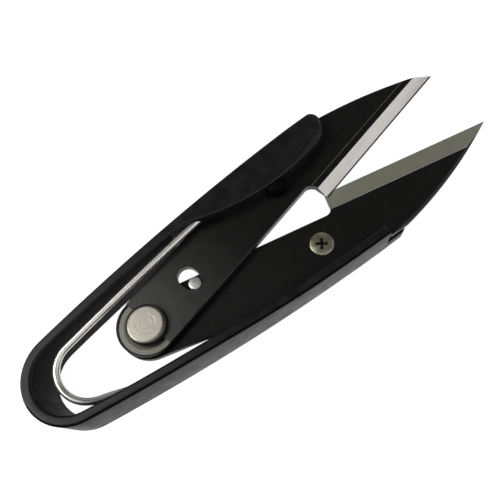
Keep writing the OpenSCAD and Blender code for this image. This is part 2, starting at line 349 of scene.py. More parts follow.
ARM_R = ((CREST[0] - BEND_X) ** 2 + CREST[1] ** 2 - BEND_R ** 2) / 2 / (CREST[1] - BEND_R)
ARM_C = np.array((CREST[0], CREST[1] - ARM_R))
ARM_FROM = math.pi - math.acos((CREST[0] - BEND_X) / (ARM_R - BEND_R))


def arm_y(x, inset=0.0):
    """Height in plan of the arm's outer face, or of a line so far inside it."""
    return ARM_C[1] + math.sqrt((ARM_R - inset) ** 2 - (x - ARM_C[0]) ** 2)


def arm_angle(x):
    return math.acos((x - ARM_C[0]) / ARM_R)


def room_depth(foot, out, lean):
    """How thick the loop's wall is where the space inside it is centred lean farther forward
    than its outer face."""
    centre = np.array((BEND_X + lean, 0))
    if angle_to((0, 0), out) < angle_to(ARM_C, centre):
        return WALL
    radius = ARM_R - WALL - np.linalg.norm(centre - ARM_C)
    off = foot - centre
    along = off @ out
    return along - math.sqrt(along ** 2 - off @ off + radius ** 2)


def circles_meet(c0, r0, c1, r1):
    """The left-hand one of the two points at distance r0 from c0 and r1 from c1."""
    apart = np.linalg.norm(c1 - c0)
    along = (apart ** 2 + r0 ** 2 - r1 ** 2) / 2 / apart
    way = (c1 - c0) / apart
    return c0 + way * along + np.array((-way[1], way[0])) * math.sqrt(r0 ** 2 - along ** 2)


def pad_edges():
    """The pad's inner edge and its outer front corner, as (turn about the arm's centre, depth
    in from the outer face)."""
    end_c = np.array((PAD_END_X,
                      PAD_C[1] - math.sqrt((PAD_R - PAD_END_R) ** 2 - (PAD_END_X - PAD_C[0]) ** 2)))
    lead_c = circles_meet(ARM_C, ARM_R - WALL - LEAD_R, PAD_C, PAD_R + LEAD_R)
    joint = PAD_C + (end_c - PAD_C) * PAD_R / (PAD_R - PAD_END_R)
    lead_pad = lead_c + (PAD_C - lead_c) * LEAD_R / (PAD_R + LEAD_R)
    corner_x = PAD_END_X + PAD_END_R - PAD_CORNER_R
    corner_c = (corner_x, arm_y(corner_x) - PAD_CORNER_R)
    down = angle_to(PAD_C, joint)
    inner = np.vstack((
        arc(lead_c, LEAD_R, angle_to(lead_c, ARM_C) + math.pi, angle_to(lead_c, lead_pad), 24),
        arc(PAD_C, PAD_R, angle_to(PAD_C, lead_pad), down, 60),
        arc(end_c, PAD_END_R, down, 0, 40)))
    corner = arc(corner_c, PAD_CORNER_R, math.radians(88), 0, 24)

    def polar(points):
        off = points - ARM_C
        return -np.arctan2(off[:, 1], off[:, 0]), ARM_R - np.hypot(off[:, 0], off[:, 1])
    return polar(inner), polar(corner)


def section(near, width, low, top, outer, brow, dish, pad_only):
    """One section across an arm as (depth in from the outer face, height): up the outer face,
    over the top, down the pad's side and back under it, down the inner face."""
    edge = min(EDGE_ROUND, 0.3 * (width - near))
    outer, brow = min(outer, 0.4 * (width - near)), min(brow, 0.45 * (width - near))
    ring = corner_points(near + edge, low + edge, edge, 270, 180, 5)
    ring += corner_points(near + outer, top - outer, outer, 180, 90, 8)
    for t in np.linspace(0, 1, 13)[1:-1]:
        n = near + outer + (width - brow - near - outer) * t
        ring.append((n, top - dish * (4 * t * (1 - t)) ** 1.5))
    ring += corner_points(width - brow, top - brow, brow, 90, 0, 8)
    inner = min(WALL, near + 0.9 * (width - near)) if pad_only else WALL
    ring.append((width, SEAT_Z + 0.15))
    ring.append((inner + 0.95 * (width - inner), SEAT_Z))
    if pad_only:
        ring += [(near + edge + (inner - near - edge) * f, SEAT_Z)
                 for f in (0.9, 0.7, 0.5, 0.3, 0.1)]
    else:
        ring.append((inner, SEAT_Z - 0.01))
        ring += corner_points(inner - edge, low + edge, edge, 0, -90, 4)
    return ring


def arm_places(end_x):
    """Where along X the arm has its sections: closer where the rim and the pad end."""
    x_tangent = ARM_C[0] + ARM_R * math.cos(ARM_FROM)
    xs = list(np.linspace(x_tangent, FINE_FROM, 26))[:-1]
    xs += list(np.linspace(FINE_FROM, RIM_END - RIM_CUT, 90))
    xs += [RIM_END - 0.08, RIM_END, RIM_END + 0.03]
    xs += list(np.linspace(RIM_END + 0.2, PAD_END_X, 6))
    xs += [PAD_END_X + (end_x - PAD_END_X) * math.sin(t)
           for t in np.linspace(0, math.pi / 2, 26)[1:-1]]
    return xs + [end_x - 0.004]


def bend_stations():
    """Stations round half of the bend, each as (foot on the outer face, way in, *section)."""
    stations = []
    for turn in np.linspace(math.pi, ARM_FROM, 70)[:-1]:
        out = np.array((math.cos(turn), math.sin(turn)))
        stations.append((np.array((BEND_X, 0)) + BEND_R * out, -out,
                         0.0, WALL, -HALF_H, HALF_H, EDGE_ROUND, EDGE_ROUND, 0.0, False))
    return stations


def arm_stations():
    """Stations along an arm and its pad."""
    (inner_turn, inner_depth), (corner_turn, corner_depth) = pad_edges()
    end_x = ARM_C[0] + ARM_R * math.cos(inner_turn[-1])
    stations = []
    for x in arm_places(end_x):
        turn = arm_angle(x)
        out = np.array((math.cos(turn), math.sin(turn)))
        width = WALL if -turn < inner_turn[0] else float(np.interp(-turn, inner_turn, inner_depth))
        near = 0.0 if -turn < corner_turn[0] else float(np.interp(-turn, corner_turn, corner_depth))
        low = -HALF_H + RIM_DROP * ease((x - RIM_FROM) / RIM_RUN)
        low += RIM_CUT * max(0.0, (x - RIM_END + RIM_CUT) / RIM_CUT) ** 2 if x <= RIM_END else 0.0
        pad_only = x > RIM_END
        dish = PAD_DISH * ease((x - DISH_FROM) / DISH_RUN)
        dish *= ease((PAD_END_X + 2 - x) / DISH_END_RUN)
        brow = EDGE_ROUND + (NOSE_ROUND - EDGE_ROUND) * ease((x - NOSE_FROM) / NOSE_ROUND_RUN)
        outer = (SHOULDER_ROUND - EDGE_ROUND) * ease((x - SHOULDER_FROM) / SHOULDER_RUN)
        fall = min(1.0, max(0.0, (x - end_x + NOSE_RUN) / NOSE_RUN))
        top = HALF_H - NOSE_DROP * (1 - math.sqrt(1 - fall * fall))
        stations.append((ARM_C + ARM_R * out, -out, near, width, SEAT_Z if pad_only else low,
                         top, EDGE_ROUND + outer, brow, dish, pad_only))
    return stations


def handle_half(name, flip):
    """Half of the handle: half of the bend, one arm, its pad and its rim. The bend's inner wall
    leans forward towards the side that is lower in the end."""
    rings, tags = [], []
    for foot, way, *shape in bend_stations() + arm_stations():
        ring = section(*shape)
        if foot[0] < 0:
            leans = [BEND_LEAN * (0.5 + z / HALF_H / 2 * (1 if flip else -1)) for _, z in ring]
            ring = [(n * room_depth(foot, -way, lean) / WALL, z)
                    for (n, z), lean in zip(ring, leans)]
        rings.append([(*(foot + way * n), z) for n, z in ring])
        # painted shade: the inner wall, and on the lower handle the round along the arm's top edge,
        # take the darker nylon
        painted_shade = [*(RING_INNER if shape[1] == WALL else ()), *(RING_CORNER if flip else ())]
        tags += [SHADED_SLOT if k in painted_shade else SIDE_SLOT if k == RING_SIDE else NYLON_SLOT
                 for k in range(len(ring))]
    points, faces = loft(rings)
    tags = tags[:-len(rings[0])] + [NYLON_SLOT] * 2
    boss_points, boss_faces = lathe(
        [(0, BOSS_TOP), (BOSS_R - 0.4, BOSS_TOP), (BOSS_R, BOSS_TOP - 0.4),
         (BOSS_R + 0.1, SEAT_Z), (0, SEAT_Z)], 48, SCREW_AT)
    faces += [tuple(i + len(points) for i in face) for face in boss_faces]
    # the boss under the pad takes the darker nylon too, as painted shade
    tags += [SHADED_SLOT] * len(boss_faces)
    points += boss_points
    return make_piece(name, turned_over(points) if flip else points, faces,
                      [nylon(), shaded_nylon(), side_nylon()], HANDLE_SHARP, tags)


# ---------------------------------------------------------------- blades

def edge_frame(u, v):
    """From (along the cutting edge, square to it) to plan."""
    return (u * math.cos(EDGE_ANGLE) - v * math.sin(EDGE_ANGLE),
            u * math.sin(EDGE_ANGLE) + v * math.cos(EDGE_ANGLE))


def blade_back(x):
    """The blade's back: a long arc, held just inside the handle's outer face."""
    return min(BACK_C[1] + math.sqrt(BACK_R ** 2 - (x - BACK_C[0]) ** 2), arm_y(x, BACK_INSET))


def blade_outline(back_angle):
    """A blade's outline, drawn as the upper one, anticlockwise from the tip, each point with the
    chamfers of its two faces: (x, y, outer chamfer, inner chamfer)."""
    across = np.array((math.sin(EDGE_ANGLE), -math.cos(EDGE_ANGLE)))
    gap = EDGE_OFFSET - across @ BACK_C
    foot = BACK_C + across * gap
    along = np.array((math.cos(EDGE_ANGLE), math.sin(EDGE_ANGLE)))
    tip = foot + along * math.sqrt(BACK_R ** 2 - gap ** 2)
    rows = [(tip[0], tip[1], 0.0, 0.0)]
    for x in np.linspace(tip[0], SHOULDER_X + 0.5, 70)[1:]:
        fade = ease((tip[0] - x) / TIP_FADE)
        spine = SPINE_BREAK * fade * ease((x - SHOULDER_X) / SPINE_RUN)
        rows.append((x, blade_back(x), BREAK * fade, spine + BREAK * fade))
    rows.append((SHOULDER_X + 0.15, blade_back(SHOULDER_X) - 0.15, BREAK, BREAK))
    rows.append((SHOULDER_X, blade_back(SHOULDER_X) - 0.5, BREAK, BREAK))
    tang = np.array((math.sin(back_angle), -math.cos(back_angle)))

    def off_tang(x):
        return -(tang @ np.array((x, arm_y(x, WALL + EASE))))
    meet = min(np.linspace(20, 45, 501), key=lambda x: abs(off_tang(x) - TANG_BACK))
    for x in np.linspace(SHOULDER_X, meet, 20):
        rows.append((x, arm_y(x, WALL + EASE), BREAK, BREAK))
    middle = math.pi / 2 + (back_angle + EDGE_ANGLE) / 2
    end_c = (TANG_BACK - TANG_R) / 2 * np.array((math.cos(middle), math.sin(middle)))
    for x, y in arc(end_c, TANG_END_R, back_angle + math.pi / 2, EDGE_ANGLE + 1.5 * math.pi, 64):
        rows.append((x, y, BREAK, BREAK))
    for u, v in arc((HEEL_U - HEEL_R, -TANG_R - HEEL_R), HEEL_R, math.pi / 2, 0, 14):
        rows.append((*edge_frame(u, v), BREAK, BREAK))
    rows.append((*edge_frame(HEEL_U, -EDGE_OFFSET + BEVEL_W), BREAK, 0.03))
    rows.append((*edge_frame(HEEL_U, -EDGE_OFFSET + 0.5), 0.0, 0.0))
    rows.append((*edge_frame(HEEL_U + HEEL_CUT, -EDGE_OFFSET), 0.0, 0.0))
    return rows


def hole(points, chamfer):
    """A hole's outline, clockwise, so that the steel lies on its left."""
    return [(x, y, chamfer, chamfer) for x, y in points[::-1]]


def slot_outline():
    """The stop pin's slot: a round hole drawn out along an arc about the rivet."""
    def end(turn):
        return (PIN_AT * math.cos(turn), PIN_AT * math.sin(turn))
    start = SLOT_FROM + math.pi
    return np.vstack((arc((0, 0), PIN_AT + SLOT_R, SLOT_FROM, SLOT_TO, 9)[:-1],
                      arc(end(SLOT_TO), SLOT_R, SLOT_TO, SLOT_TO + math.pi, 28)[:-1],
                      arc((0, 0), PIN_AT - SLOT_R, SLOT_TO, SLOT_FROM, 7)[:-1],
                      arc(end(SLOT_FROM), SLOT_R, start, SLOT_FROM + 2 * math.pi, 28)[:-1]))


def plate(outlines, low, high):
    """A flat plate with holes and chamfered edges. Each outline's steel lies on its left."""
    points, faces, caps_low, caps_high = [], [], [], []
    for rows in outlines:
        xy = np.array([r[:2] for r in rows], float)
        before, after = np.roll(xy, 1, 0), np.roll(xy, -1, 0)
        e0 = (xy - before) / np.linalg.norm(xy - before, axis=1)[:, None]
        e1 = (after - xy) / np.linalg.norm(after - xy, axis=1)[:, None]
        left0, left1 = np.c_[-e0[:, 1], e0[:, 0]], np.c_[-e1[:, 1], e1[:, 0]]
        mitre = left0 + left1
        mitre = mitre / np.maximum((mitre * left0).sum(1), 0.35)[:, None]
        size, base = len(rows), len(points)
        outer = np.array([r[2] for r in rows])
        inner = np.array([r[3] for r in rows])
        levels = [(inner, low), (0 * inner, low), (0 * outer, high), (outer, high)]
        for level, (inset, z) in enumerate(levels):
            rise = inner * (level == 1) - outer * (level == 2)
            moved = xy + mitre * inset[:, None]
            points += [(moved[i, 0], moved[i, 1], z + rise[i]) for i in range(size)]
        for level in range(3):
            for k in range(size):
                a, b = base + level * size + k, base + level * size + (k + 1) % size
                faces.append((a, b, b + size, a + size))
        caps_low.append(range(base, base + size))
        caps_high.append(range(base + 3 * size, base + 4 * size))
    for rings, over in ((caps_low, True), (caps_high, False)):
        flat = [i for ring in rings for i in ring]
        flat_rings = [[Vector((*points[i][:2], 0)) for i in ring] for ring in rings]
        for a, b, c in tessellate_polygon(flat_rings):
            faces.append((flat[c], flat[b], flat[a]) if over else (flat[a], flat[b], flat[c]))
    return points, faces


def grind(piece, v, z, normal, slot):
    """Grinds off all that lies beyond a plane along the edge through (v, z), whose normal is
    given in v and z, and puts the ground face in a material slot."""
    where = place(*edge_frame(0, v), z)
    across = (*edge_frame(0, normal[0]), normal[1])
    build = bmesh.new()
    build.from_mesh(piece.data)
    everything = build.verts[:] + build.edges[:] + build.faces[:]
    cut = bmesh.ops.bisect_plane(build, geom=everything, dist=1e-8, plane_co=where,
                                 plane_no=across, clear_outer=True)
    rim = [e for e in cut["geom_cut"] if isinstance(e, bmesh.types.BMEdge) and e.is_valid
           and len(e.link_faces) < 2]
    made = bmesh.ops.edgenet_fill(build, edges=rim)["faces"]
    for face in made:
        face.material_index = slot
    bmesh.ops.triangulate(build, faces=[f for f in build.faces if len(f.verts) > 4])
    bmesh.ops.recalc_face_normals(build, faces=build.faces)
    build.to_mesh(piece.data)
    build.free()


def score(piece, v, steels):
    """A fine bright scratch along the inner face, where the ground band begins."""
    over = 2.0
    ring = [(v - SCORE_W * (1 + over) / 2, EASE - over * SCORE_DEPTH),
            (v + SCORE_W * (1 + over) / 2, EASE - over * SCORE_DEPTH), (v, EASE + SCORE_DEPTH)]
    points = [(*edge_frame(u, w), z) for u in (HEEL_U - 3, 2 * HEEL_U) for w, z in ring]
    faces = [(0, 1, 2), (5, 4, 3), (0, 3, 4, 1), (1, 4, 5, 2), (2, 5, 3, 0)]
    slots = [COAT_SLOT] * 3 + [BEVEL_SLOT, COAT_SLOT]
    cutter = make_piece("score_cutter", points, faces, steels, tags=slots)
    cut_away(piece, cutter, BLADE_SHARP)


def crisp_flats(piece):
    """Marks the faint edges between flats that lie almost in one plane, which smooth shading
    would lose."""
    build = bmesh.new()
    build.from_mesh(piece.data)
    for edge in build.edges:
        if len(edge.link_faces) == 2:
            first, second = (face.normal for face in edge.link_faces)
            flat = min(abs(first.z), abs(second.z)) > FLAT_NZ
            if flat and first.angle(second, 0) > LEAST_BEND:
                edge.smooth = False
    build.to_mesh(piece.data)
    build.free()


def sink_for_screw(piece):
    """The screw's countersunk hole."""
    wide, narrow = SCREW_HEAD_R + 0.03, SCREW_R + 0.02
    profile = [(0, 3), (narrow, 3), (narrow, 1.31), (wide, 0.05), (wide, -1), (0, -1)]
    cutter = make_piece("sink_cutter", *lathe(profile, 64, SCREW_AT), [black_coat()])
    cut_away(piece, cutter, BLADE_SHARP)


def coin(piece, steels):
    """The face about the rivet, pressed lower behind a straight step."""
    box = []
    for a, b, c in ((1, 0, 0), (0, 0, 0), (0, 1, 0), (1, 1, 0),
                    (1, 0, 1), (0, 0, 1), (0, 1, 1), (1, 1, 1)):
        x, y = edge_frame(STEP_U - a * STEP_SIDE, (b - 0.5) * STEP_SIDE)
        box.append((x, y, BLADE_T - STEP_DEPTH + c * STEP_CLEAR))
    walls = ((3, 2, 1, 0), (4, 5, 6, 7), (0, 1, 5, 4), (1, 2, 6, 5), (2, 3, 7, 6), (3, 0, 4, 7))
    slots = [COIN_SLOT] + [COAT_SLOT] * 5
    cutter = make_piece("step_cutter", box, walls, steels, tags=slots)
    cut_away(piece, cutter, BLADE_SHARP)


def blade(name, flip, holes):
    """One blade, drawn as the upper one: its outer face ground to an edge in two steps, and
    its inner face relieved along the edge."""
    outline = blade_outline(LOW_TANG_ANGLE if flip else TANG_ANGLE)
    points, faces = plate([outline] + holes, EASE, BLADE_T)
    steels = [black_coat(), ground_bevel(), honed_band(), coined_face()]
    piece = make_piece(name, points, faces, steels)
    slope = (BLADE_T - PRIMARY_DROP - EDGE_LAND) / BEVEL_W
    shallow = PRIMARY_DROP / (PRIMARY_W - BEVEL_W)
    line_v = -EDGE_OFFSET + PRIMARY_W + LINE_W / 2
    grind(piece, -EDGE_OFFSET + PRIMARY_W, BLADE_T, (-shallow, 1), COAT_SLOT)
    grind(piece, line_v, BLADE_T, (-shallow / 2, 1), BEVEL_SLOT)
    grind(piece, -EDGE_OFFSET, EDGE_LAND, (-slope, 1), BEVEL_SLOT)
    grind(piece, -EDGE_OFFSET, MICRO_BEVEL_Z, (-1, 1), COAT_SLOT)
    grind(piece, -EDGE_OFFSET + BAND_W, EASE, (-BAND_DROP / BAND_W, -1), BAND_SLOT)
    score(piece, -EDGE_OFFSET + BAND_W, steels)
    sink_for_screw(piece)
    if flip:
        piece.data.transform(HALF_TURN)
    else:
        coin(piece, steels)
    shade(piece, BLADE_SHARP)
    crisp_flats(piece)
    return piece


# ---------------------------------------------------------------- rivet, pin, screws

def rivet():
    """The rivet: a turned head with a round edge, its shank and its dished tail."""
    top, foot = rivet_high.z, rivet_low.z
    profile = [(0, top - 2 * TURN_DEPTH), (1.2, top - 2 * TURN_DEPTH), (1.25, top - TURN_DEPTH),
               (2.2, top - TURN_DEPTH), (2.25, top), (HEAD_R - HEAD_ROUND - 0.1, top)]
    profile += corner_points(HEAD_R - HEAD_ROUND, top - HEAD_ROUND, HEAD_ROUND, 90, 0, 13)
    profile += [(HEAD_R, SEAT_Z + 0.12), (HEAD_R - 0.12, SEAT_Z), (SHANK_R, SEAT_Z),
                (SHANK_R, -SEAT_Z), (TAIL_R - 0.2, -SEAT_Z), (TAIL_R, -SEAT_Z - 0.2)]
    profile += corner_points(TAIL_R - TAIL_ROUND, foot + TAIL_ROUND, TAIL_ROUND, 0, -90, 10)
    profile += [(1.0, foot), (0.6, foot + 0.25), (0, foot + 0.3)]
    return make_piece("rivet", *lathe(profile, 128), [rivet_steel()], RIVET_SHARP)


def stop_pin():
    """The stop pin: a plain round pin with rounded edges."""
    top, foot = pin_high.z, pin_low.z
    profile = [(0, top), (PIN_R - 0.3, top)]
    for t in (20, 45, 70, 90):
        profile.append((PIN_R - PIN_ROUND + PIN_ROUND * math.sin(math.radians(t)),
                        top - PIN_ROUND + PIN_ROUND * math.cos(math.radians(t))))
    profile += [(PIN_R, foot + 0.1), (PIN_R - 0.1, foot), (0, foot)]
    return make_piece("pin", *lathe(profile, 64, PIN_C), [pin_steel()], PIN_SHARP)


def cross_cutters(centre):
    """For the cross recess: two crossing wedges that narrow towards their floor."""
    wings = []
    for turn in (0, math.pi / 2):
        points = []
        for z, long, thick in ((0.5, 1.75, 0.36), (-1.25, 0.55, 0.26)):
            for a, b in ((-1, -1), (1, -1), (1, 1), (-1, 1)):
                x, y = a * long, b * thick
                c, s = math.cos(CROSS_ANGLE + turn), math.sin(CROSS_ANGLE + turn)
                points.append((centre[0] + c * x - s * y, centre[1] + s * x + c * y, z))
        walls = ((0, 1, 2, 3), (7, 6, 5, 4), (4, 5, 1, 0), (5, 6, 2, 1), (6, 7, 3, 2), (7, 4, 0, 3))
        wings.append(make_piece("cross_cutter", points, walls, [screw_steel(), recess_shade_and_grease()],
                                tags=[1] * len(walls)))
    return wings


def screw(name, flip):
    """A countersunk screw, drawn as the lower one with its head's face at z = 0, then put in
    its jaw."""
    slant = SCREW_HEAD_R - SCREW_R
    profile = [(0, 0), (SCREW_HEAD_R - 0.14, 0), (SCREW_HEAD_R - 0.04, -0.04),
               (SCREW_HEAD_R, -HEAD_BAND), (SCREW_R, -HEAD_BAND - slant)]
    z = -0.2 - slant
    root, crest = SCREW_R - THREAD_DEPTH, SCREW_R - 0.02
    while z > -SCREW_LEN + THREAD_PITCH:
        profile += [(root, z - 0.1), (crest, z - 0.25), (root, z - 0.4)]
        z -= THREAD_PITCH
    profile += [(SCREW_R - 0.5, -SCREW_LEN), (0, -SCREW_LEN)]
    points, faces = lathe(profile, 72, UNDER_SCREW_AT)
    piece = make_piece(name, points, faces, [screw_steel(), recess_shade_and_grease()], SCREW_SHARP)
    for wing in cross_cutters(UNDER_SCREW_AT):
        cut_away(piece, wing, SCREW_SHARP)
    drop = Matrix.Translation(Vector((0, 0, -EASE * MM)))
    piece.data.transform(drop if flip else HALF_TURN @ drop)
    shade(piece, SCREW_SHARP)
    return piece


# ---------------------------------------------------------------- wire spring

def wire_leg(s):
    """Plan of a leg's middle line, s millimetres from the bend."""
    c, n = math.cos(WIRE_SPLAY), math.sin(WIRE_SPLAY)
    start = np.array((WIRE_X - WIRE_BEND_R * n, WIRE_BEND_R * c))
    return start + s * np.array((c, n)) + WIRE_BOW * s * s / 2 * np.array((n, -c))


def wire_half(name, lower):
    """Half of the wire spring, from the middle of its bend to one end. The lower leg falls away
    from the upper one's height, and bulges towards its arm."""
    plan = [WIRE_BEND_R * np.array((math.cos(t), math.sin(t))) + (WIRE_X, 0)
            for t in np.linspace(math.pi, math.pi / 2 + WIRE_SPLAY, 40)]
    plan += [wire_leg(s) for s in np.linspace(0, WIRE_LEG, 60)[1:]]
    path = []
    for x, y in plan:
        y = -y if lower else y
        fall = 2 * ease((x - WIRE_DROP_FROM) / WIRE_DROP_RUN) if lower else 0
        bulge = LEG_BULGE * ease((x - BULGE_FROM) / BULGE_RUN) if lower else 0
        bulge *= 1 - ease((x - BULGE_END) / BULGE_END_RUN)
        path.append(np.array((x, y - bulge, WIRE_TILT * y + WIRE_RISE * (1 - fall))))
    rings = []
    for i, p in enumerate(path):
        way = path[min(i + 1, len(path) - 1)] - path[max(i - 1, 0)]
        if i == 0:
            way = np.array((0.0, way[1], 0.0)) + (0, 0, WIRE_TILT * way[1])
        way = way / np.linalg.norm(way)
        side = np.cross(way, (0, 0, 1.0))
        side /= np.linalg.norm(side)
        up = np.cross(side, way)
        rings.append([tuple(p + WIRE_R * (math.cos(t) * side + math.sin(t) * up))
                      for t in np.linspace(0, 2 * math.pi, 24, endpoint=False)])
    points, faces = loft(rings)
    return make_piece(name, points, faces, [spring_wire()], WIRE_SHARP)


# ---------------------------------------------------------------- materials

NOISE_ROUGHNESS = 0.55
NOISE_RANGE = (0.3, 0.7)
FAR_RIM = 9.0  # for turned steel with no painted shade at its rim


class Paint:
    """A node material being put together, in millimetres of the drawing."""

    def __init__(self, name):
        self.material = bpy.data.materials.new(name)
        self.material.use_nodes = True
        self.tree = self.material.node_tree
        self.shader = self.tree.nodes["Principled BSDF"]
        where = self.node("ShaderNodeTexCoord")
        shift = self.node("ShaderNodeVectorMath", where.outputs["Object"], tuple(-PIVOT))
        self.mm = self.node("ShaderNodeVectorMath", shift.outputs[0], (1 / MM,) * 3)
        shift.operation, self.mm.operation = "ADD", "MULTIPLY"

    def node(self, kind, *values, **named):
        """A new node, with its inputs fed in order, or by name with _ for a space."""
        node = self.tree.nodes.new(kind)
        for i, value in enumerate(values):
            self.feed(node.inputs[i], value)
        for key, value in named.items():
            self.feed(node.inputs[key.replace("_", " ")], value)
        return node

    def feed(self, socket, value):
        if isinstance(value, bpy.types.NodeSocket):
            self.tree.links.new(value, socket)
        else:
            socket.default_value = value

    def set(self, **values):
        """Feeds the shader's own inputs."""
        for key, value in values.items():
            self.feed(self.shader.inputs[key.replace("_", " ")], value)

    def grain(self, scale, detail=4.0, stretch=(1, 1, 1), turn=0.0):
        """Noise in cycles per millimetre, stretched along the drawing's axes after a turn."""
        turned = self.node("ShaderNodeMapping", Vector=self.mm.outputs[0],
                           Rotation=(0, 0, turn), Scale=stretch)
        return self.node("ShaderNodeTexNoise", Vector=turned.outputs[0], Scale=scale,
                         Detail=detail, Roughness=NOISE_ROUGHNESS).outputs["Fac"]

    def rings(self, radius, scale):
        """Noise that only changes with the radius, in cycles per millimetre."""
        noise = self.node("ShaderNodeTexNoise", Scale=scale, Detail=3)
        noise.noise_dimensions = "1D"
        self.feed(noise.inputs["W"], radius)
        return noise.outputs["Fac"]

    def remap(self, value, low, high, to_low, to_high):
        return self.node("ShaderNodeMapRange", Value=value, From_Min=low, From_Max=high,
                         To_Min=to_low, To_Max=to_high).outputs[0]

    def spread(self, noise, to_low, to_high):
        """Noise, nearly all of which lies in its middle range, spread out between two values."""
        return self.remap(noise, *NOISE_RANGE, to_low, to_high)

    def times(self, a, b):
        node = self.node("ShaderNodeMath", a, b)
        node.operation = "MULTIPLY"
        return node.outputs[0]

    def mix(self, fac, a, b):
        """From one colour to another; each is a tuple or a socket."""
        node = self.tree.nodes.new("ShaderNodeMix")
        node.data_type = "RGBA"
        self.feed(node.inputs[0], fac)
        self.feed(node.inputs[6], (*a, 1) if isinstance(a, tuple) else a)
        self.feed(node.inputs[7], (*b, 1) if isinstance(b, tuple) else b)
        return node.outputs[2]

    def bump(self, heights):
        """Bumps from (height, strength, depth in mm), one on top of another."""
        normal = None
        for height, strength, depth in heights:
            node = self.node("ShaderNodeBump", Height=height, Strength=strength,
                             Distance=depth * MM)
            if normal is not None:
                self.feed(node.inputs["Normal"], normal)
            normal = node.outputs[0]
        self.feed(self.shader.inputs["Normal"], normal)

    def axis(self, which):
        """One coordinate of the drawing, in mm."""
        return self.node("ShaderNodeSeparateXYZ", self.mm.outputs[0]).outputs[which]

    def radius(self, x, y):
        """Distance from an upright axis through (x, y), in mm."""
        off = self.node("ShaderNodeVectorMath", self.mm.outputs[0], (1, 1, 0), (-x, -y, 0))
        off.operation = "MULTIPLY_ADD"
        size = self.node("ShaderNodeVectorMath", off.outputs[0])
        size.operation = "LENGTH"
        return size.outputs["Value"]


_made = {}


def once(build):
    """Makes a material the first time it is asked for."""
    def ask():
        if build.__name__ not in _made:
            _made[build.__name__] = build()
        return _made[build.__name__]
    return ask


def moulded(name, dark, light, rough_low, rough_high):
    """Black nylon as it leaves the mould: faintly mottled, with a fine skin."""
    paint = Paint(name)
    mottle = paint.grain(0.35, 5)
    fine = paint.grain(5, 5)
    paint.set(Base_Color=paint.mix(mottle, (dark, dark, 1.08 * dark), (light, light, 1.05 * light)),
              Roughness=paint.spread(mottle, rough_low, rough_high))
    paint.bump([(fine, 0.25, 0.03), (mottle, 0.2, 0.1)])
    return paint


@once
def nylon():
    """The handle's seen faces, which shine a little more towards the tips: their weaker reflection
    about the bend is painted shade.
    """
    paint = moulded("nylon", 0.003, 0.011, 0.32, 0.47)
    paint.set(Specular_IOR_Level=paint.remap(paint.axis(0), -28, 5, 0.19, 0.27))
    return paint.material


@once
def shaded_nylon():
    """A darker, less shiny copy of the nylon as painted shade, for the loop's inner wall and the
    undersides, which lie in their own shade, and for the boss and the lower arm's top edge.
    """
    paint = moulded("shaded_nylon", 0.001, 0.002, 0.5, 0.6)
    paint.set(Specular_IOR_Level=0.04)
    return paint.material


@once
def side_nylon():
    """The arms' outer walls, whose reflection is turned down towards the bend as painted shade."""
    paint = moulded("side_nylon", 0.002, 0.005, 0.36, 0.48)
    paint.set(Specular_IOR_Level=paint.remap(paint.axis(0), -25, 35, 0.08, 0.25))
    return paint.material


@once
def black_coat():
    """Blackened steel. About the rivet, the upper blade's face gets a painted sheen, a little
    greyer, and the lower blade's face a painted shade, its reflection turned down."""
    paint = Paint("black_coat")
    mottle = paint.grain(0.5, 5)
    drawn = paint.grain(3, 4, (0.08, 1, 1), -EDGE_ANGLE)
    fine = paint.grain(9, 4)
    coat = paint.mix(mottle, (0.0025, 0.0025, 0.0025), (0.0085, 0.0085, 0.0078))
    near = paint.remap(paint.radius(0, 0), 6, 26, 1, 0)
    height = paint.axis(2)
    # painted sheen on the upper blade's face near the rivet, painted shade on the lower blade's face
    # there
    painted_sheen = paint.times(near, paint.remap(height, 0.5, 1.5, 0, 1))
    under_blade_shade = paint.times(near, paint.remap(height, 0.5, 1.5, 1, 0))
    patchy_sheen = paint.times(painted_sheen, paint.spread(mottle, 0.5, 1))
    paint.set(Base_Color=paint.mix(patchy_sheen, coat, (0.03, 0.03, 0.028)),
              Roughness=paint.spread(drawn, 0.28, 0.35),
              Specular_IOR_Level=paint.remap(under_blade_shade, 0, 1, 0.38, 0.08))
    paint.bump([(fine, 0.2, 0.012), (drawn, 0.08, 0.008)])
    return paint.material


@once
def coined_face():
    """Pressed steel about the rivet, with the rings that the punch leaves. Beside the rivet it
    carries a painted shadow of the rivet's head, and it is nearly black at its rim."""
    paint = Paint("coined_face")
    radius = paint.radius(0, 0)
    rings = paint.rings(radius, 2.2)
    pressed = paint.grain(5, 4)
    bright = paint.mix(paint.remap(rings, 0.35, 0.65, 0, 1), (0.12, 0.117, 0.1), (0.2, 0.195, 0.17))
    # painted shadow of the rivet's head, just beyond it
    painted_shade = paint.mix(paint.remap(radius, 5.0, 5.5, 0, 1), (0.07, 0.07, 0.06), bright)
    black_rim = paint.mix(paint.remap(radius, 6.1, 6.25, 0, 1), painted_shade, (0.015, 0.015, 0.014))
    paint.set(Base_Color=black_rim, Metallic=1.0, Roughness=paint.spread(pressed, 0.32, 0.44))
    paint.bump([(rings, 0.5, 0.03), (pressed, 0.2, 0.01)])
    return paint.material


@once
def ground_bevel():
    """Bright steel, ground square to the edge."""
    paint = Paint("ground_bevel")
    across = paint.grain(2.6, 5, (4, 0.25, 0.25), -EDGE_ANGLE)
    cloud = paint.grain(0.5, 3)
    paint.set(Base_Color=paint.mix(cloud, (0.66, 0.625, 0.605), (0.74, 0.715, 0.69)),
              Metallic=1.0, Roughness=paint.spread(across, 0.24, 0.38))
    paint.bump([(across, 0.3, 0.01)])
    return paint.material


@once
def honed_band():
    """Yellowish steel, ground along the inner face's edge."""
    paint = Paint("honed_band")
    across = paint.grain(2.2, 5, (4, 0.3, 0.3), EDGE_ANGLE)
    cloud = paint.grain(0.4, 3)
    paint.set(Base_Color=paint.mix(cloud, (0.66, 0.66, 0.52), (0.82, 0.81, 0.66)),
              Metallic=1.0, Roughness=paint.spread(across, 0.34, 0.46))
    paint.bump([(across, 0.2, 0.008)])
    return paint.material


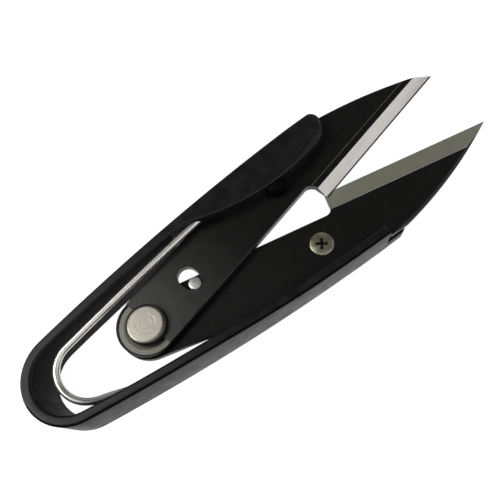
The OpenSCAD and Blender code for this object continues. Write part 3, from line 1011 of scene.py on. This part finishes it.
def turned_steel(name, centre, tint, rough, ring_scale, ring_depth, rim=FAR_RIM):
    """Steel with the rings that a lathe leaves about an upright axis, darkened beyond rim as painted
    shade.
    """
    paint = Paint(name)
    radius = paint.radius(*centre)
    rings = paint.rings(radius, ring_scale)
    stain = paint.grain(0.8, 5)
    tone = paint.mix(stain, tuple(0.85 * c for c in tint), tint)
    dark = tuple(0.25 * c for c in tint)
    # painted shade: darker beyond rim
    rim_shade = paint.mix(paint.remap(radius, rim - 0.4, rim + 0.2, 0, 1), tone, dark)
    paint.set(Base_Color=rim_shade, Metallic=1.0,
              Roughness=paint.spread(stain, rough - 0.03, rough + 0.05))
    paint.bump([(rings, 0.5, ring_depth), (stain, 0.15, 0.015)])
    return paint.material


@once
def rivet_steel():
    # the head's round edge is darkened as painted shade
    return turned_steel("rivet_steel", (0, 0), (0.42, 0.39, 0.34), 0.38, 3.0, 0.03, HEAD_R - 0.65)


@once
def pin_steel():
    return turned_steel("pin_steel", PIN_C, (0.93, 0.91, 0.82), 0.28, 6.0, 0.006)


@once
def screw_steel():
    return turned_steel("screw_steel", UNDER_SCREW_AT, (0.66, 0.64, 0.45), 0.32, 5.0, 0.005)


@once
def recess_shade_and_grease():
    """The dark, greasy floor of a screw's recess, its darkness partly painted shade of the deep
    recess.
    """
    paint = Paint("recess_shade_and_grease")
    grease = paint.grain(3, 4)
    paint.set(Base_Color=paint.mix(grease, (0.02, 0.014, 0.01), (0.06, 0.045, 0.035)), Metallic=0.6,
              Roughness=paint.spread(grease, 0.25, 0.4))
    paint.bump([(grease, 0.3, 0.02)])
    return paint.material


@once
def spring_wire():
    """Bright drawn wire, faintly stained."""
    paint = Paint("spring_wire")
    stain = paint.grain(0.4, 3)
    paint.set(Base_Color=paint.mix(stain, (0.6, 0.57, 0.52), (0.78, 0.76, 0.72)), Metallic=1.0,
              Roughness=paint.spread(stain, 0.32, 0.38))
    paint.bump([(stain, 0.1, 0.02)])
    return paint.material


@once
def floor_paint():
    """A plain pale floor that glows, so that next to no shadow shows on it."""
    paint = Paint("floor_paint")
    soft = paint.grain(0.02, 2)
    paint.set(Base_Color=paint.mix(soft, (0.19, 0.19, 0.19), (0.21, 0.21, 0.21)), Roughness=0.7,
              Emission_Color=(1, 1, 1, 1), Emission_Strength=0.96)
    return paint.material


# ---------------------------------------------------------------- the pieces: handle and wire halves baked in place, the others on their bodies

upper_handle = handle_half("upper_handle", False)
lower_handle = handle_half("lower_handle", True)
upper_wire = wire_half("upper_wire", False)
lower_wire = wire_half("lower_wire", True)
for piece, body, nodes, slot in (
        (upper_handle, "upper_jaw", ("handle_loop", "upper_grip"), "nylon"),
        (lower_handle, "lower_jaw", ("handle_loop", "lower_grip"), "nylon"),
        (upper_wire, "upper_jaw", ("wire_spring",), "spring_wire"),
        (lower_wire, "lower_jaw", ("wire_spring",), "spring_wire")):
    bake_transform(piece)
    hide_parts(*nodes)

circle = arc((0, 0), HOLE_R, 0, 2 * math.pi, 49)[:-1]
pin_hole = arc((PIN_C[0], -PIN_C[1]), PIN_R + FIT, 0, 2 * math.pi, 33)[:-1]
top_blade = blade("top_blade", False, [hole(circle, BREAK), hole(slot_outline(), BREAK)])
under_blade = blade("under_blade", True, [hole(circle, BREAK), hole(pin_hole, 0.03)])
for piece, body, node, slot in (
        (top_blade, "upper_jaw", "upper_blade", "blackened_steel"),
        (under_blade, "lower_jaw", "lower_blade", "blackened_steel"),
        (rivet(), "handle", "pivot_rivet", "rivet_steel"),
        (stop_pin(), "lower_jaw", "stop_pin", "pin_steel"),
        (screw("top_screw", False), "upper_jaw", "upper_screw", "screw_steel"),
        (screw("under_screw", True), "lower_jaw", "lower_screw", "screw_steel")):
    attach(piece, body)
    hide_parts(node)


# ---------------------------------------------------------------- floor, light and camera

FLOOR_HALF = 2.0  # in metres, like the sizes and places of the lights
floor_mesh = bpy.data.meshes.new("floor")
floor_mesh.from_pydata([(a * FLOOR_HALF, b * FLOOR_HALF, 0)
                        for a, b in ((-1, -1), (1, -1), (1, 1), (-1, 1))], [], [(0, 1, 2, 3)])
floor_mesh.materials.append(floor_paint())
floor = bpy.data.objects.new("floor", floor_mesh)
bpy.context.scene.collection.objects.link(floor)


LAMP_DISTANCE = 0.5
LIT_X = 25  # in the drawing's millimetres


def soft_light(name, azimuth, elevation, size, watts):
    """A round soft light half a metre away that looks at the middle of the snips."""
    data = bpy.data.lights.new(name, "AREA")
    data.shape, data.size, data.energy = "DISK", size, watts
    lamp = bpy.data.objects.new(name, data)
    turn, lift = math.radians(azimuth), math.radians(elevation)
    away = Vector((math.cos(lift) * math.cos(turn), math.cos(lift) * math.sin(turn), math.sin(lift)))
    lamp.location = place(LIT_X, 0, 0) + away * LAMP_DISTANCE
    lamp.rotation_mode = "QUATERNION"
    lamp.rotation_quaternion = away.to_track_quat("Z", "Y")
    bpy.context.scene.collection.objects.link(lamp)


for row in (("key_low", 160, 40, 0.25, 1.6),
            ("key_middle", 143, 52, 0.14, 0.36),
            ("key_high", 130, 62, 0.20, 0.34),
            ("front_left", 200, 50, 0.30, 0.2),
            ("front", 250, 50, 0.30, 0.35),
            ("front_right", 300, 60, 0.30, 0.15),
            ("right_low", 321, 35, 0.30, 0.17),
            ("right", 350, 35, 0.30, 0.10),
            ("front_low", 290, 22, 0.25, 0.3),
            ("back", 45, 20, 0.30, 0.2)):
    soft_light(*row)

# The room around gives next to no light, and is pale where it is looked at past the floor
ROOM_LIGHT = 0.02
ROOM_SEEN = 1.0
world = bpy.data.worlds.new("studio")
bpy.context.scene.world = world
world.use_nodes = True
looked_at = world.node_tree.nodes.new("ShaderNodeLightPath")
room = world.node_tree.nodes.new("ShaderNodeMath")
room.operation = "MULTIPLY_ADD"
room.inputs[1].default_value, room.inputs[2].default_value = ROOM_SEEN, ROOM_LIGHT
backdrop = world.node_tree.nodes["Background"].inputs
backdrop["Color"].default_value = (1, 1, 1, 1)
world.node_tree.links.new(looked_at.outputs["Is Camera Ray"], room.inputs[0])
world.node_tree.links.new(room.outputs[0], backdrop["Strength"])

# The camera stands close above the snips, as the strong perspective shows
CAMERA_AT = (7.340, -39.328, 109.522)
CAMERA_RIGHT = (0.78989973, -0.60894596, -0.07241024)
CAMERA_UP = (0.58784387, 0.71826893, 0.37219528)
CAMERA_LENS = 37.6
CAMERA_SENSOR = 36.0
CAMERA_CLIP = (0.005, 10.0)
camera_data = bpy.data.cameras.new("camera")
camera_data.lens, camera_data.sensor_width = CAMERA_LENS, CAMERA_SENSOR
camera_data.clip_start, camera_data.clip_end = CAMERA_CLIP
camera = bpy.data.objects.new("camera", camera_data)
right, up = Vector(CAMERA_RIGHT), Vector(CAMERA_UP)
camera.matrix_world = (Matrix.Translation(place(*CAMERA_AT))
                       @ Matrix((right, up, right.cross(up))).transposed().to_4x4())
bpy.context.scene.collection.objects.link(camera)
bpy.context.scene.camera = camera
bpy.context.scene.view_settings.view_transform = "Standard"
